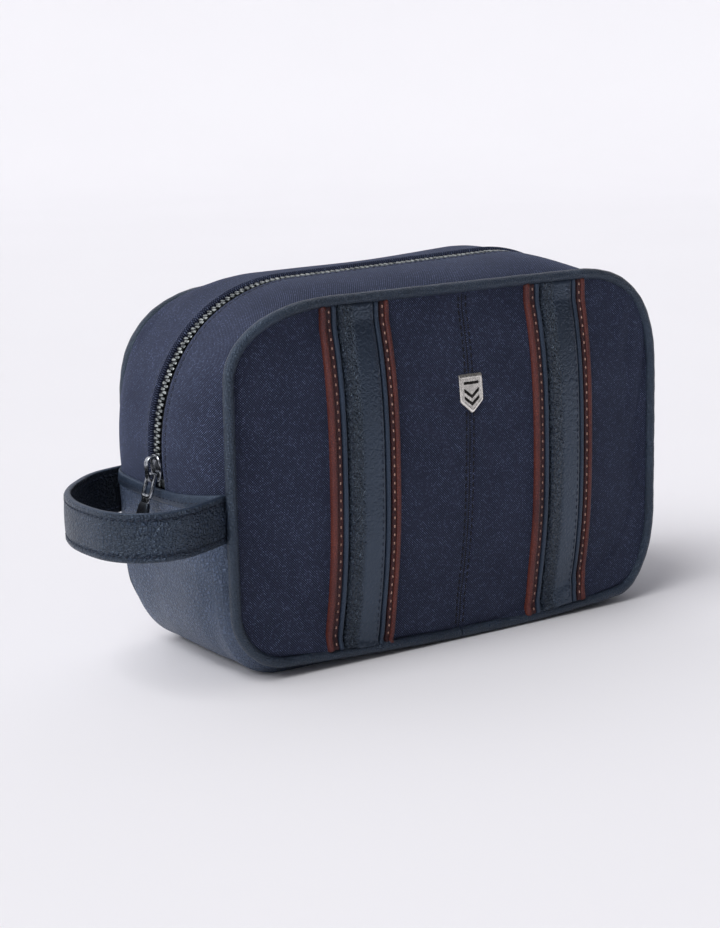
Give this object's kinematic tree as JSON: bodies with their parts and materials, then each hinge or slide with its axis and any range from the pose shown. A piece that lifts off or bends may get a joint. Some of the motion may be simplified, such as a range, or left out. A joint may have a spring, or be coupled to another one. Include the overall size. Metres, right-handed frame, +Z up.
{
  "type": "shaving kit bag",
  "caption": "Zip-round canvas wash bag with leather base, banded front, wrist strap, running slider, swinging puller and an opening top.",
  "frame": {"origin": "middle of the flat base, on the surface the bag stands on", "axes": "+X along the bag's width away from the wrist strap, the banded front faces -Y, +Z up"},
  "size_m": [0.3092, 0.1136, 0.1719],
  "materials": {
    "canvas": "navy twill canvas, matt with a faint sheen",
    "slate_leather": "pebbled slate-navy leather, satin",
    "piping_leather": "smooth slate-navy leather over a cord, satin",
    "strap_lining_leather": "dark smooth leather",
    "brown_leather": "cognac-brown leather, satin",
    "zip_tape": "black woven tape",
    "binding_ribbon": "dark ribbed ribbon",
    "zip_metal": "antique gunmetal",
    "slider_metal": "polished gunmetal plate",
    "pull_tab": "near-black smooth tab",
    "lining_cloth": "dark plain-weave lining",
    "stiffener_board": "matt board",
    "badge_metal": "polished silver plate"
  },
  "bodies": {
    "bag": {"back_binding": "binding_ribbon", "back_gusset_left": "canvas", "back_gusset_right": "canvas", "back_panel": "canvas", "back_piping": "piping_leather", "back_tape_left": "zip_tape", "back_tape_right": "zip_tape", "back_teeth_left": "zip_metal", "back_teeth_right": "zip_metal", "back_top_stop": "zip_metal", "badge": "badge_metal", "badge_washer": "badge_metal", "band_left": "slate_leather", "band_right": "slate_leather", "base_board": "stiffener_board", "base_leather": "slate_leather", "bottom_stop": "zip_metal", "centre_seam_tape": "binding_ribbon", "front_binding": "binding_ribbon", "front_gusset_left": "canvas", "front_gusset_right": "canvas", "front_panel_left": "canvas", "front_panel_right": "canvas", "front_piping": "piping_leather", "front_tape_left": "zip_tape", "front_tape_right": "zip_tape", "front_teeth_left": "zip_metal", "front_teeth_right": "zip_metal", "front_top_stop": "zip_metal", "left_hem_fold": "slate_leather", "lining_back": "lining_cloth", "lining_base": "lining_cloth", "lining_front": "lining_cloth", "narrow_trim_left": "brown_leather", "narrow_trim_right": "brown_leather", "right_hem_fold": "slate_leather", "strap_root_back": "slate_leather", "strap_root_front": "slate_leather", "wide_trim_left": "brown_leather", "wide_trim_right": "brown_leather"},
    "front_flap": {"front_gusset_flap": "canvas", "front_tape_flap": "zip_tape", "front_teeth_flap": "zip_metal"},
    "back_flap": {"back_gusset_flap": "canvas", "back_tape_flap": "zip_tape", "back_teeth_flap": "zip_metal"},
    "slider": {"slider_body": "slider_metal", "slider_crown": "slider_metal"},
    "puller": {"pull_link": "slider_metal", "pull_tab": "pull_tab"},
    "strap": {"strap_outer": "slate_leather", "strap_inner": "strap_lining_leather"}
  },
  "joints": [
    {"name": "zip_run", "type": "hinge", "parent": "bag", "child": "slider", "pos_m": [-0.0563, 0, 0.0966], "axis": [0, 1, 0], "range_deg": [0, 85]},
    {"name": "pull_swing", "type": "hinge", "parent": "slider", "child": "puller", "pos_m": [-0.1326, 0, 0.0894], "axis": [0, 1, 0], "range_deg": [-8, 160]},
    {"name": "strap_lift", "type": "hinge", "parent": "bag", "child": "strap", "pos_m": [-0.1375, 0, 0.075], "axis": [0, 1, 0], "range_deg": [-25, 50]},
    {"name": "front_flap_open", "type": "hinge", "parent": "bag", "child": "front_flap", "pos_m": [0, -0.0416, 0.16401], "axis": [1, 0, 0], "range_deg": [0, 55]},
    {"name": "back_flap_open", "type": "hinge", "parent": "bag", "child": "back_flap", "pos_m": [0, 0.0416, 0.16401], "axis": [-1, 0, 0], "range_deg": [0, 55]}
  ]
}
